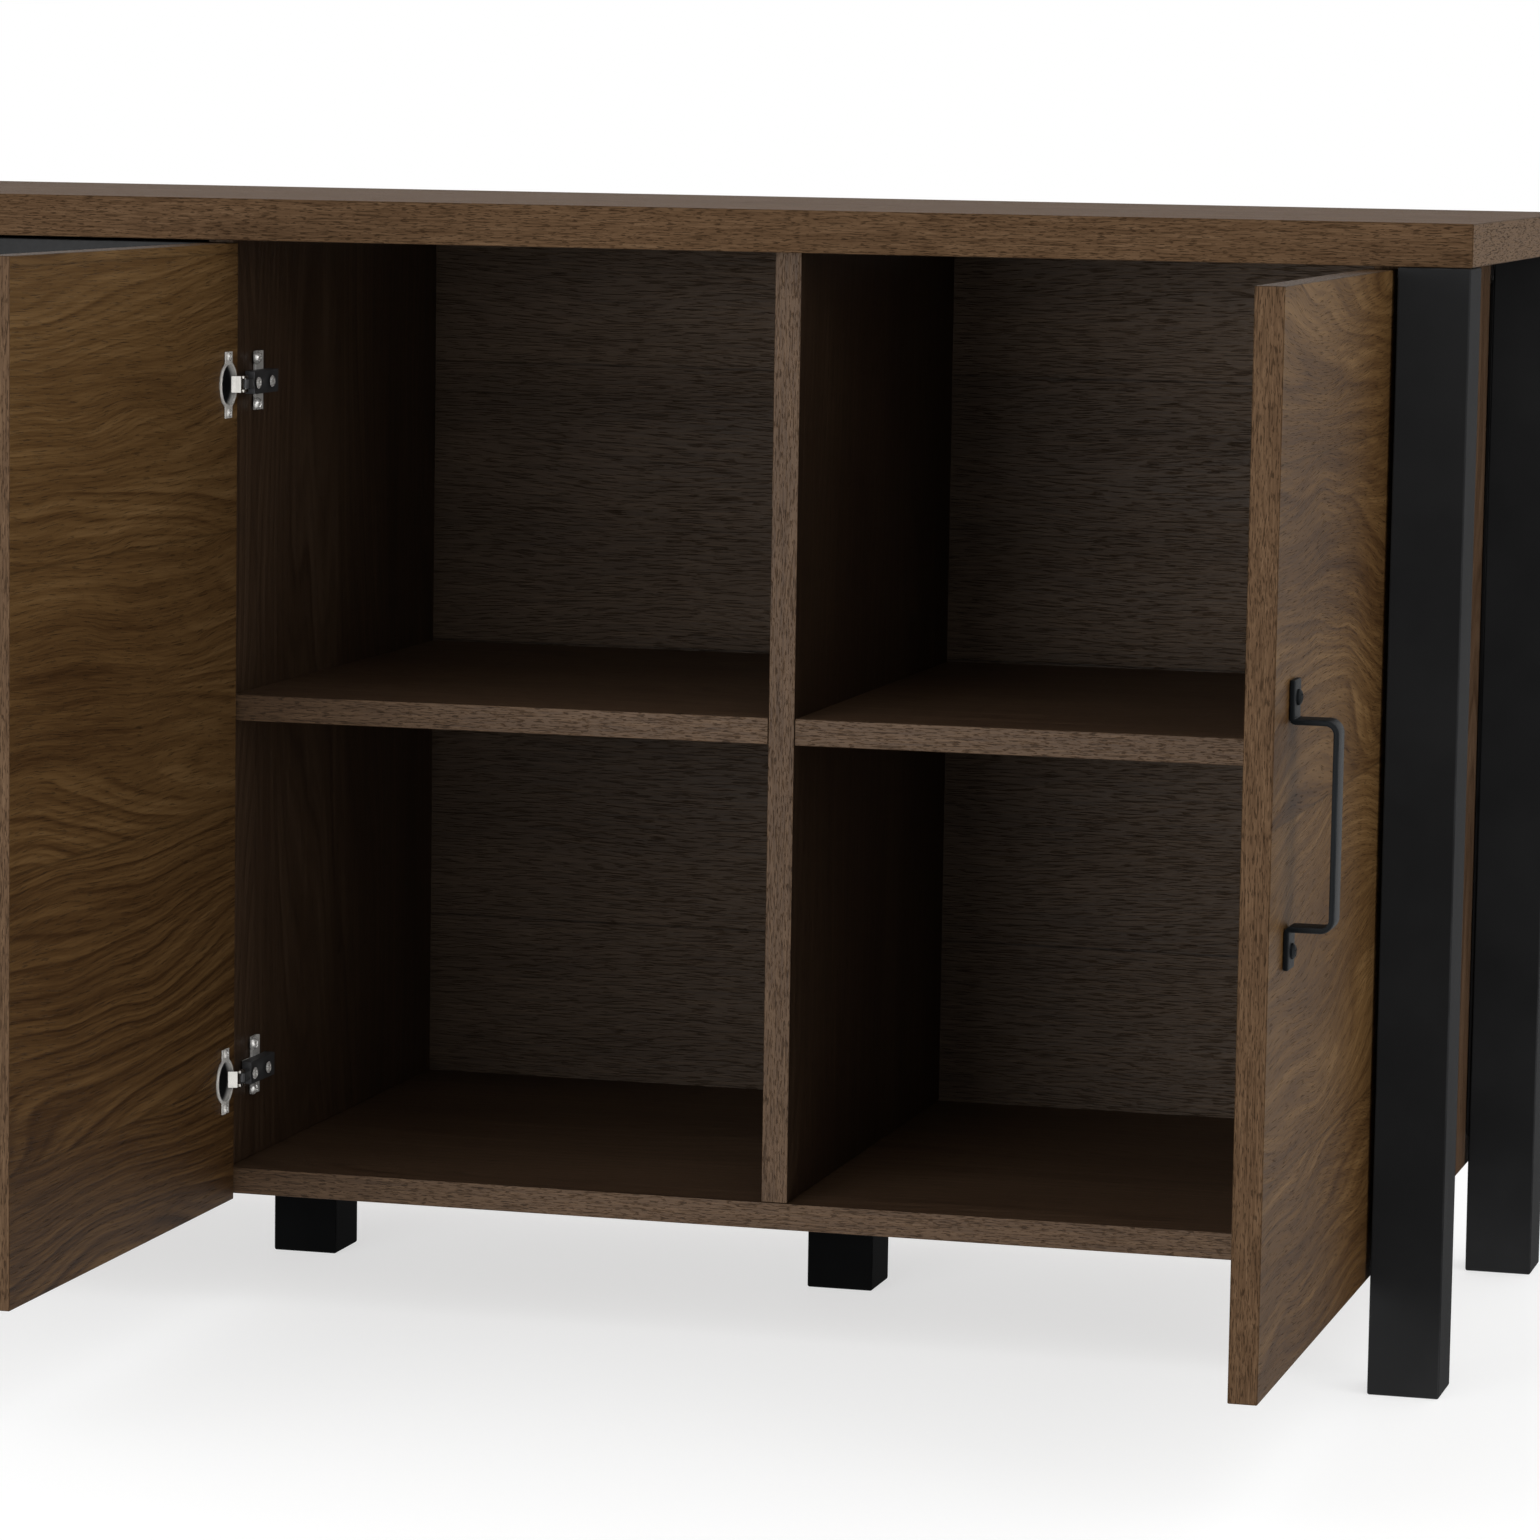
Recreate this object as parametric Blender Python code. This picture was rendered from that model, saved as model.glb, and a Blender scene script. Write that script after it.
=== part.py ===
"""Three-bay sideboard: two cube bays behind overlay doors and one bay of drawers.

Metres, +Z up.  X runs along the front, Y from front to back.  The origin is on the
floor, in the middle of the footprint with both doors open at a right angle.  The model
is built in its rest position: doors open, drawers shut.
"""

import math

import bmesh
import bpy
from mathutils import Vector

GAP = 0.0003                      # air between two pieces that touch

# Carcass
BOARD = 0.016
TOP_THICKNESS = 0.025
BAY_WIDTH = 0.340
BAY_COUNT = 3
CARCASS_DEPTH = 0.388
BOTTOM_Z = 0.068                  # underside of the bottom panel
SHELF_Z = 0.361                   # underside of the shelves
CARCASS_TOP_Z = 0.654             # underside of the top panel
TOP_FRONT_OVERHANG = 0.030
TOP_REAR_OVERHANG = 0.009
BACK_THICKNESS = 0.003
BACK_INSET = 0.001                # the back panel stays this far inside the carcass outline

# Legs and feet
LEG = 0.042
LEG_STRIP = 0.0025                # raised fixing strip between a leg and its side panel
LEG_STRIP_MARGIN = 0.020          # the strip stops this far short of the panel's ends
LEG_SETBACK = 0.001               # the legs stand this far inside the top's outline
FOOT_CENTRE = 0.183               # middle feet, measured back from the carcass front

# Doors and drawer fronts
FRONT_THICKNESS = 0.016
FRONT_CLEARANCE = 0.002           # air behind, above and between the closed fronts
FRONT_SPACING = 0.003
PARTITION_OVERLAY = 0.010         # how far the left door covers the drawer partition
SIDE_OVERLAY = 0.0155             # how far the right door covers the right side panel

# Hinges: the door turns about a line this far in from its edge and from its outer face
PIVOT_FROM_EDGE = 0.005
PIVOT_FROM_FACE = 0.005
CUP_RADIUS = 0.013
CUP_DEPTH = 0.011
CUP_WALL = 0.0007
CUP_FROM_EDGE = 0.018
CUP_RIM = 0.001
FLANGE_THICKNESS = 0.0015
FLANGE_HEIGHT = 0.040
FLANGE_WIDTH = 0.011
HINGE_HEIGHTS = {"upper": 0.567, "lower": 0.142}
LINK_PIN_RADIUS = 0.0165          # link pin's distance from the door's pivot line
LINK_PIN_ANGLE = math.radians(15)
ARM_NOSE = 0.0021                 # half the nose's thickness, and the radius round its pin
NOSE_HALF_HEIGHT = 0.003
NOSE_ROOT = 0.004                 # how far the nose's neck is let into the arm body
NOSE_HOLE = 0.0013
NECK_START = 0.007                # the neck bends here, measured back from the carcass front
NECK_END = 0.001
ARM_HEIGHT = 0.014
ARM_START = 0.008                 # arm body, measured back from the carcass front
ARM_END = 0.050
ARM_BASE = 0.0048                 # arm body, measured off the panel it is mounted on
ARM_FACE = 0.0112
PLATE_THICKNESS = 0.0022
PLATE_RAIL = 0.0045               # the rail under the arm, measured off the wall
RAIL_HALF_HEIGHT = 0.0055
RAIL_SETBACK = 0.012              # rail's front end behind the arm body's front end
RAIL_MARGIN = 0.002               # rail's rear end in front of the arm's rear end
PLATE_WING = 0.013                # width of the plate's two upright wings
PLATE_Y = 0.041
PLATE_SCREW_SPACING = 0.028
PLATE_SCREW_MARGIN = 0.004        # the wings run this far past their screws
CUP_SCREW_MARGIN = 0.003          # cup screws in from the flange's ends
LINK_HALF_HEIGHT = 0.005
LINK_STRIP = 0.0014
LINK_FORK_INSIDE = 0.0033
LINK_KNUCKLE = 0.0021
LINK_PIN = 0.0010
LINK_FORK_END = 0.0050            # fork, web and bend of the link, measured from its pin
LINK_WEB_START = 0.0036
LINK_WEB_END = 0.0080
LINK_TIP = 0.0100
LINK_TIP_DROP = 0.0050

# Pulls: a flat strip bent to a D with a screwed tab at each end
PULL_LEG_SPACING = 0.110
PULL_TAB = 0.022
PULL_REACH = 0.0255               # centre line of the grip off the front's face
PULL_STRIP = 0.003
PULL_WIDTH = 0.018
PULL_BENDS = (0.0020, 0.006, 0.006, 0.0020)
PULL_SCREW_SPACING = 0.135
PULL_FROM_EDGE = 0.050
PULL_Z = 0.368

# Screws: shank radius, depth in the wood, head radius and head height
PULL_SCREW = (0.0016, 0.012, 0.0042, 0.0024)
PLATE_SCREW = (0.0015, 0.010, 0.0032, 0.0018)
CUP_SCREW = (0.0011, 0.009, 0.0021, 0.0012)
BORE_MOUTH = 0.001                # a bore's cutter runs out this far past the face

# Drawers
DRAWER_NAMES = ("upper", "middle", "lower")
DRAWER_SIDE = 0.012
DRAWER_DEPTH = 0.350
DRAWER_HEIGHT = 0.140
DRAWER_LIFT = 0.026               # box sides above the lower edge of the front
DRAWER_BOTTOM = 0.003
DRAWER_CLEARANCE = 0.002
RUNNER_DEPTH = 0.007
RUNNER_HEIGHT = 0.010
RUNNER_LIFT = 0.055               # runner above the lower edge of the drawer's sides
RUNNER_FRONT = 0.004              # runner's front end behind the carcass front
RUNNER_REAR = 0.010               # runner's rear end in front of the carcass back
RUNNER_SLACK = 0.0005

# Positions worked out from the sizes above
HALF_BAY = BAY_WIDTH / 2
HALF_CARCASS = (BAY_COUNT * BAY_WIDTH + (BAY_COUNT + 1) * BOARD) / 2
HALF_TOP = HALF_CARCASS + LEG_STRIP + LEG + LEG_SETBACK
WALL_X = HALF_BAY + BOARD / 2     # centre of the partition and of the divider
TOP_Z = CARCASS_TOP_Z + TOP_THICKNESS
FRONTS_LOW = BOTTOM_Z - FRONT_CLEARANCE
FRONTS_HIGH = CARCASS_TOP_Z - FRONT_CLEARANCE
LEFT_EDGE = -HALF_BAY - PARTITION_OVERLAY
RIGHT_EDGE = HALF_CARCASS - BOARD + SIDE_OVERLAY
MEETING_X = WALL_X
LEFT_DOOR_WIDTH = MEETING_X - FRONT_SPACING / 2 - LEFT_EDGE
RIGHT_DOOR_WIDTH = RIGHT_EDGE - MEETING_X - FRONT_SPACING / 2
# an open door's hinge edge stands this far in front of the carcass
OPEN_EDGE = FRONT_CLEARANCE + FRONT_THICKNESS - PIVOT_FROM_EDGE - PIVOT_FROM_FACE
REAR = CARCASS_DEPTH + TOP_REAR_OVERHANG
FRONT = (OPEN_EDGE + RIGHT_DOOR_WIDTH - REAR) / 2
PIVOT_Y = FRONT - FRONT_CLEARANCE - FRONT_THICKNESS + PIVOT_FROM_FACE
PIN_Y = PIVOT_Y + LINK_PIN_RADIUS * math.sin(LINK_PIN_ANGLE)

X_AXIS = Vector((1, 0, 0))
Y_AXIS = Vector((0, 1, 0))
Z_AXIS = Vector((0, 0, 1))


# Scene and materials -----------------------------------------------------------------

def clear_scene():
    for old in list(bpy.data.objects):
        bpy.data.objects.remove(old, do_unlink=True)


def material(name, color, roughness, metallic=0.0):
    made = bpy.data.materials.new(name)
    made.use_nodes = True
    shader = made.node_tree.nodes["Principled BSDF"]
    shader.inputs["Base Color"].default_value = (*color, 1.0)
    shader.inputs["Roughness"].default_value = roughness
    shader.inputs["Metallic"].default_value = metallic
    return made


clear_scene()
WALNUT = material("walnut_laminate", (0.110, 0.068, 0.043), 0.50)
BLACK_FRONT = material("black_laminate", (0.013, 0.013, 0.014), 0.48)
BLACK_LACQUER = material("black_lacquer", (0.014, 0.014, 0.015), 0.45)
HARDBOARD = material("printed_hardboard", (0.075, 0.050, 0.033), 0.60)
DRAWER_BOARD = material("drawer_board", (0.060, 0.058, 0.056), 0.55)
BLACK_METAL = material("black_metal", (0.016, 0.017, 0.019), 0.38, 0.6)
NICKEL = material("nickel", (0.62, 0.60, 0.56), 0.28, 1.0)
ANTHRACITE = material("anthracite_steel", (0.070, 0.068, 0.066), 0.36, 0.9)
GREY_PLASTIC = material("grey_plastic", (0.055, 0.055, 0.058), 0.50)


# Shapes: each function returns a closed bmesh in world coordinates ---------------------

def box(low, high):
    shape = bmesh.new()
    bmesh.ops.create_cube(shape, size=1.0)
    low = Vector(low)
    size = Vector(high) - low
    for vert in shape.verts:
        vert.co = [low[i] + (vert.co[i] + 0.5) * size[i] for i in range(3)]
    return shape


def turned(profile, start, axis, segments):
    """Turn (radius, height) points about a line through start; the ends lie on the line."""
    across = Y_AXIS if abs(axis.x) > 0.5 else X_AXIS
    other = axis.cross(across)
    shape = bmesh.new()
    rings = []
    for radius, height in profile:
        centre = Vector(start) + axis * height
        if radius == 0:
            rings.append([shape.verts.new(centre)])
            continue
        ring = []
        for step in range(segments):
            angle = 2 * math.pi * (step + 0.5) / segments
            offset = across * math.cos(angle) + other * math.sin(angle)
            ring.append(shape.verts.new(centre + offset * radius))
        rings.append(ring)
    for lower, upper in zip(rings, rings[1:]):
        for step in range(segments):
            after = (step + 1) % segments
            corners = [lower[step % len(lower)], lower[after % len(lower)],
                       upper[after % len(upper)], upper[step % len(upper)]]
            shape.faces.new(list(dict.fromkeys(corners)))
    bmesh.ops.recalc_face_normals(shape, faces=shape.faces)
    return shape


def rod(radius, start, end, segments=8):
    line = Vector(end) - Vector(start)
    return turned([(0, 0), (radius, 0), (radius, line.length), (0, line.length)],
                  start, line.normalized(), segments)


def bent_strip(path, thickness, width_axis, width_low, width_high):
    """Sweep a flat strip along a planar path of points; width_axis is across the strip."""
    shape = bmesh.new()
    rings = []
    for index, point in enumerate(path):
        before = path[max(index - 1, 0)]
        after = path[min(index + 1, len(path) - 1)]
        run = (after - before).normalized()
        inward = (point - before).normalized() if index else run
        mitre = 1 / max(inward.dot(run), 0.5)
        side = run.cross(width_axis) * (thickness / 2 * mitre)
        rings.append([shape.verts.new(point + side + width_axis * width_low),
                      shape.verts.new(point - side + width_axis * width_low),
                      shape.verts.new(point - side + width_axis * width_high),
                      shape.verts.new(point + side + width_axis * width_high)])
    for lower, upper in zip(rings, rings[1:]):
        for step in range(4):
            after = (step + 1) % 4
            shape.faces.new([lower[step], lower[after], upper[after], upper[step]])
    shape.faces.new(rings[0])
    shape.faces.new(rings[-1])
    bmesh.ops.recalc_face_normals(shape, faces=shape.faces)
    return shape


def rounded_path(corners, radii, steps=3):
    """Replace each inner corner of a path with an arc of its own radius."""
    path = [corners[0]]
    for before, corner, after, radius in zip(corners, corners[1:], corners[2:], radii):
        back = (before - corner).normalized()
        ahead = (after - corner).normalized()
        half = back.angle(ahead) / 2
        centre = corner + (back + ahead).normalized() * (radius / math.sin(half))
        start = (corner + back * (radius / math.tan(half)) - centre).normalized()
        end = (corner + ahead * (radius / math.tan(half)) - centre).normalized()
        for step in range(steps + 1):
            path.append(centre + start.slerp(end, step / steps) * radius)
    path.append(corners[-1])
    return path


def together(shapes):
    """Collect shapes that don't touch into one mesh."""
    whole = bmesh.new()
    for shape in shapes:
        mesh = bpy.data.meshes.new("piece")
        shape.to_mesh(mesh)
        shape.free()
        whole.from_mesh(mesh)
        bpy.data.meshes.remove(mesh)
    return whole


# Objects -------------------------------------------------------------------------------

def empty(name, location):
    made = bpy.data.objects.new(name, None)
    made.empty_display_size = 0.03
    made.location = location
    bpy.context.collection.objects.link(made)
    return made


def add(name, shape, look, parent=None):
    """Make one piece, its origin at the middle of its own box."""
    low = Vector([min(vert.co[i] for vert in shape.verts) for i in range(3)])
    high = Vector([max(vert.co[i] for vert in shape.verts) for i in range(3)])
    middle = (low + high) / 2
    bmesh.ops.translate(shape, verts=shape.verts, vec=-middle)
    mesh = bpy.data.meshes.new(name)
    shape.to_mesh(mesh)
    shape.free()
    mesh.shade_smooth()
    mesh.set_sharp_from_angle(angle=math.radians(35))
    made = bpy.data.objects.new(name, mesh)
    made.location = middle
    if look:
        mesh.materials.append(look)
    if parent:
        made.parent = parent
        made.location = middle - parent.location
    bpy.context.collection.objects.link(made)
    return made


def tool(piece, shape, operation):
    """Cut a hidden shape out of a piece, or add it to the piece."""
    guide = add(f"{piece.name}_{operation.lower()}", shape, None, piece.parent)
    guide.hide_render = True
    guide.display_type = "WIRE"
    change = piece.modifiers.new(operation.lower(), "BOOLEAN")
    change.operation = operation
    change.object = guide
    change.solver = "EXACT"


def drill(piece, bores):
    if bores:
        tool(piece, together(bores), "DIFFERENCE")


def fuse(piece, *shapes):
    for shape in shapes:
        tool(piece, shape, "UNION")


# Screws, and their holes, collected piece by piece and drilled at the end ---------------------

BORES = {}


def bore(names, radius, start, end, segments=8):
    for name in names:
        BORES.setdefault(name, []).append(rod(radius + GAP * 1.3, start, end, segments))


def bore_for(screw, name, spot, outward):
    """Bore a board for a screw driven in at spot."""
    shank, bite = screw[:2]
    bore([name], shank, spot - outward * (bite + GAP), spot + outward * BORE_MOUTH)


def driven(screw, spot, outward, seat, segments=8):
    """A round-head screw driven in at spot, its head starting at the height of seat."""
    shank, bite, radius, rise = screw
    height = bite + seat
    profile = [(0, 0), (shank, 0), (shank, height), (radius, height),
               (radius * 0.90, height + rise * 0.46), (radius * 0.57, height + rise * 0.83),
               (0, height + rise)]
    return turned(profile, spot - outward * bite, outward, segments)


# Carcass -------------------------------------------------------------------------------

def leg_centres():
    x = HALF_TOP - LEG_SETBACK - LEG / 2
    front_y = FRONT - TOP_FRONT_OVERHANG + LEG_SETBACK / 2 + LEG / 2
    rear_y = FRONT + REAR - LEG_SETBACK - LEG / 2
    return {"front_left_leg": (-x, front_y), "front_right_leg": (x, front_y),
            "rear_left_leg": (-x, rear_y), "rear_right_leg": (x, rear_y)}


LEG_CENTRES = leg_centres()


def panels():
    back = FRONT + CARCASS_DEPTH
    side = HALF_CARCASS
    inner = HALF_CARCASS - BOARD
    top_z = CARCASS_TOP_Z - GAP
    wall_low = BOTTOM_Z + BOARD + GAP
    shelf_top = SHELF_Z + BOARD
    add("top_panel", box((-HALF_TOP, FRONT - TOP_FRONT_OVERHANG, CARCASS_TOP_Z),
                         (HALF_TOP, FRONT + REAR, TOP_Z)), WALNUT)
    add("bottom_panel", box((-inner + GAP, FRONT, BOTTOM_Z),
                            (inner - GAP, back, BOTTOM_Z + BOARD)), WALNUT)
    add("left_side_panel", box((-side, FRONT, BOTTOM_Z), (-inner, back, top_z)), WALNUT)
    add("right_side_panel", box((inner, FRONT, BOTTOM_Z), (side, back, top_z)), WALNUT)
    for name, x in (("drawer_partition", -WALL_X), ("cube_divider", WALL_X)):
        add(name, box((x - BOARD / 2, FRONT, wall_low), (x + BOARD / 2, back, top_z)), WALNUT)
    for name, x in (("left_shelf", 0.0), ("right_shelf", BAY_WIDTH + BOARD)):
        add(name, box((x - HALF_BAY + GAP, FRONT, SHELF_Z),
                      (x + HALF_BAY - GAP, back - GAP, shelf_top)), WALNUT)
    edge = side - BACK_INSET
    add("back_panel", box((-edge, back + GAP, BOTTOM_Z + BACK_INSET),
                          (edge, back + GAP + BACK_THICKNESS, top_z - BACK_INSET)), HARDBOARD)


def legs_and_feet():
    for name, (x, y) in LEG_CENTRES.items():
        side = math.copysign(1, x)
        leg = add(name, box((x - LEG / 2, y - LEG / 2, 0),
                            (x + LEG / 2, y + LEG / 2, CARCASS_TOP_Z - GAP)), BLACK_LACQUER)
        ends = sorted((side * (HALF_CARCASS + GAP), side * (HALF_CARCASS + LEG_STRIP + GAP)))
        low_y = max(y - LEG / 2, FRONT) + GAP
        high_y = min(y + LEG / 2, FRONT + CARCASS_DEPTH) - GAP
        fuse(leg, box((ends[0], low_y, BOTTOM_Z + LEG_STRIP_MARGIN),
                      (ends[1], high_y, CARCASS_TOP_Z - LEG_STRIP_MARGIN)))
    for name, x in (("left_middle_foot", -WALL_X), ("right_middle_foot", WALL_X)):
        y = FRONT + FOOT_CENTRE
        add(name, box((x - LEG / 2, y - LEG / 2, 0),
                      (x + LEG / 2, y + LEG / 2, BOTTOM_Z - GAP)), BLACK_LACQUER)


# Pulls ---------------------------------------------------------------------------------

def pull(prefix, centre, along, outward, board, parent):
    """A strip bent to a D; centre lies on the front's outer face.  Returns the pull."""
    across = along.cross(outward)
    tab = PULL_STRIP / 2 + GAP
    half_leg = PULL_LEG_SPACING / 2
    half_length = half_leg + PULL_TAB
    outline = ((-half_length, tab), (-half_leg, tab), (-half_leg, PULL_REACH),
               (half_leg, PULL_REACH), (half_leg, tab), (half_length, tab))
    corners = [centre + along * run + outward * rise for run, rise in outline]
    path = rounded_path(corners, PULL_BENDS)
    strip = bent_strip(path, PULL_STRIP, across, -PULL_WIDTH / 2, PULL_WIDTH / 2)
    for spot in pull_screw_spots(centre, along):
        bore_for(PULL_SCREW, board, spot, outward)
    return add(f"{prefix}_handle", strip, BLACK_METAL, parent)


def pull_screw_spots(centre, along):
    return [centre + along * (end * PULL_SCREW_SPACING / 2) for end in (-1, 1)]


# Doors and hinges ------------------------------------------------------------------------

def wall_point(side, wall_x, off_wall, back, z):
    """A point given by its distance off the hinge wall and behind the carcass front."""
    return Vector((wall_x + side * off_wall, FRONT + back, z))


def hinge_arm(name, side, wall_x, pin_off, z):
    half = ARM_HEIGHT / 2
    corners = (wall_point(side, wall_x, ARM_BASE, ARM_START, z - half),
               wall_point(side, wall_x, ARM_FACE, ARM_END, z + half))
    low = [min(corners[0][i], corners[1][i]) for i in range(3)]
    high = [max(corners[0][i], corners[1][i]) for i in range(3)]
    arm = add(name, box(low, high), ANTHRACITE)
    body_off = (ARM_BASE + ARM_FACE) / 2
    pin_back = PIN_Y - FRONT
    neck = [wall_point(side, wall_x, body_off, ARM_START + NOSE_ROOT, z),
            wall_point(side, wall_x, body_off, NECK_START, z),
            wall_point(side, wall_x, pin_off, NECK_END, z),
            wall_point(side, wall_x, pin_off, pin_back, z)]
    pin = wall_point(side, wall_x, pin_off, pin_back, z)
    nose = NOSE_HALF_HEIGHT
    fuse(arm, bent_strip(neck, 2 * ARM_NOSE, Z_AXIS, -nose, nose),
         rod(ARM_NOSE, pin - Z_AXIS * nose, pin + Z_AXIS * nose, 12))
    drill(arm, [rod(NOSE_HOLE, pin - Z_AXIS * 2 * nose, pin + Z_AXIS * 2 * nose, 8)])


def hinge_link(name, side, wall_x, pin_off, z, parent):
    """A forked strip that turns on its own pin through the arm's nose."""
    inner = LINK_FORK_INSIDE
    outer = LINK_HALF_HEIGHT
    strip = LINK_STRIP
    pin_back = PIN_Y - FRONT
    pin = wall_point(side, wall_x, pin_off, pin_back, z)
    fork_end = wall_point(side, wall_x, pin_off, pin_back - LINK_FORK_END, z)
    web = [wall_point(side, wall_x, pin_off, pin_back - LINK_WEB_START, z),
           wall_point(side, wall_x, pin_off, pin_back - LINK_WEB_END, z),
           wall_point(side, wall_x, pin_off - LINK_TIP_DROP, pin_back - LINK_TIP, z)]
    link = add(name, bent_strip(web, strip, Z_AXIS, -outer, outer), NICKEL, parent)
    for low, high in ((-outer, -inner), (inner, outer)):
        fuse(link, bent_strip([pin, fork_end], 2 * strip, Z_AXIS, low, high),
             rod(LINK_KNUCKLE, pin + Z_AXIS * low, pin + Z_AXIS * high, 12))
    reach = Z_AXIS * (outer - GAP)
    fuse(link, rod(LINK_PIN, pin - reach, pin + reach, 8))


def hinge_plate(name, side, wall_x, z, wall):
    """A cross-shaped plate: two wings up and down, and the rail that carries the arm."""
    wing = PLATE_WING / 2
    half = PLATE_SCREW_SPACING / 2 + PLATE_SCREW_MARGIN

    def block(off_low, off_high, back_low, back_high, half_z):
        one = wall_point(side, wall_x, off_low, back_low, z - half_z)
        two = wall_point(side, wall_x, off_high, back_high, z + half_z)
        return box([min(one[i], two[i]) for i in range(3)], [max(one[i], two[i]) for i in range(3)])

    plate = add(name, block(GAP, PLATE_THICKNESS, PLATE_Y - wing, PLATE_Y + wing, half), NICKEL)
    fuse(plate, block(GAP * 2, PLATE_RAIL, ARM_START + RAIL_SETBACK, ARM_END - RAIL_MARGIN,
                      RAIL_HALF_HEIGHT))
    off_wall = X_AXIS * side
    for end in (-1, 1):
        spot = wall_point(side, wall_x, 0, PLATE_Y, z + end * PLATE_SCREW_SPACING / 2)
        fuse(plate, driven(PLATE_SCREW, spot, off_wall, PLATE_THICKNESS - GAP))
        bore_for(PLATE_SCREW, wall, spot, off_wall)


def hinge_cup(name, side, faces, edge_off, z, parent):
    """The pressed cup in an open door's inner face, with screwed ears above and below."""
    inward = X_AXIS * side            # away from the open door's inner face, into the bay
    centre = Vector((faces["inner_x"], faces["edge_y"] - edge_off, z))
    inner = CUP_RADIUS - CUP_WALL
    rim = CUP_RADIUS + CUP_RIM
    top = FLANGE_THICKNESS
    profile = [(0, -CUP_DEPTH), (CUP_RADIUS, -CUP_DEPTH), (CUP_RADIUS, GAP), (rim, GAP),
               (rim, top), (inner, top), (inner, -CUP_DEPTH + CUP_WALL), (0, -CUP_DEPTH + CUP_WALL)]
    cup = add(name, turned(profile, centre, inward, 24), NICKEL, parent)
    for end in (-1, 1):
        near = centre + Z_AXIS * (end * (inner + GAP))
        far = centre + Z_AXIS * (end * FLANGE_HEIGHT / 2)
        half = Y_AXIS * (FLANGE_WIDTH / 2)
        one = near - half + inward * GAP * 1.5
        two = far + half + inward * (top - GAP / 2)
        fuse(cup, box([min(one[i], two[i]) for i in range(3)],
                      [max(one[i], two[i]) for i in range(3)]))
        spot = centre + Z_AXIS * (end * (FLANGE_HEIGHT / 2 - CUP_SCREW_MARGIN))
        fuse(cup, driven(CUP_SCREW, spot, inward, top - GAP))
        bore_for(CUP_SCREW, faces["panel"], spot, inward)
    bore([faces["panel"]], CUP_RADIUS, centre - inward * (CUP_DEPTH + GAP),
         centre + inward * BORE_MOUTH, 24)


def door(name, side, edge_x, wall_x, wall, width):
    """One open door with its hinges; side is +1 where the hinge wall is on the left."""
    pivot = empty(f"{name}_door_pivot", (edge_x + side * PIVOT_FROM_EDGE, PIVOT_Y, 0))
    pin_off = side * (pivot.location.x - wall_x) + LINK_PIN_RADIUS * math.cos(LINK_PIN_ANGLE)
    link_pivot = empty(f"{name}_hinge_link_pivot", (wall_x + side * pin_off, PIN_Y, 0))
    edge_y = FRONT - OPEN_EDGE
    outer_x = edge_x
    inner_x = edge_x + side * FRONT_THICKNESS
    panel = f"{name}_door_panel"
    add(panel, box((min(outer_x, inner_x), edge_y - width, FRONTS_LOW),
                   (max(outer_x, inner_x), edge_y, FRONTS_HIGH)), WALNUT, pivot)
    faces = {"panel": panel, "inner_x": inner_x, "edge_y": edge_y}
    for level, z in HINGE_HEIGHTS.items():
        hinge = f"{name}_{level}_hinge"
        hinge_arm(f"{hinge}_arm", side, wall_x, pin_off, z)
        hinge_link(f"{hinge}_link", side, wall_x, pin_off, z, link_pivot)
        hinge_plate(f"{hinge}_plate", side, wall_x, z, wall)
        hinge_cup(f"{hinge}_cup", side, faces, CUP_FROM_EDGE, z, pivot)
    centre = Vector((outer_x, edge_y - width + PULL_FROM_EDGE, PULL_Z))
    outward = -X_AXIS * side
    handle = pull(f"{name}_door", centre, Z_AXIS, outward, panel, pivot)
    for end, spot in zip(("lower", "upper"), pull_screw_spots(centre, Z_AXIS)):
        bore([handle.name], PULL_SCREW[0], spot, spot + outward * 2 * PULL_STRIP)
        screw = driven(PULL_SCREW, spot, outward, PULL_STRIP + 2 * GAP, 10)
        add(f"{handle.name}_{end}_screw", screw, BLACK_METAL, pivot)


def doors():
    door("left", 1, LEFT_EDGE, -HALF_BAY, "drawer_partition", LEFT_DOOR_WIDTH)
    door("right", -1, RIGHT_EDGE, HALF_CARCASS - BOARD, "right_side_panel", RIGHT_DOOR_WIDTH)


# Drawers -------------------------------------------------------------------------------

def drawer_box(prefix, left, right, front, low, parent):
    """The two sides and the back of a drawer, glued up as one U-shaped piece."""
    back = front + DRAWER_DEPTH
    inner_left = left + DRAWER_SIDE
    inner_right = right - DRAWER_SIDE
    outline = ((left, front), (inner_left, front), (inner_left, back - DRAWER_SIDE),
               (inner_right, back - DRAWER_SIDE), (inner_right, front), (right, front),
               (right, back), (left, back))
    shape = bmesh.new()
    floor = shape.faces.new([shape.verts.new((x, y, low)) for x, y in outline])
    raised = bmesh.ops.extrude_face_region(shape, geom=[floor])
    lifted = [item for item in raised["geom"] if isinstance(item, bmesh.types.BMVert)]
    bmesh.ops.translate(shape, verts=lifted, vec=(0, 0, DRAWER_HEIGHT))
    bmesh.ops.recalc_face_normals(shape, faces=shape.faces)
    return add(f"{prefix}_box", shape, DRAWER_BOARD, parent)


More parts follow.
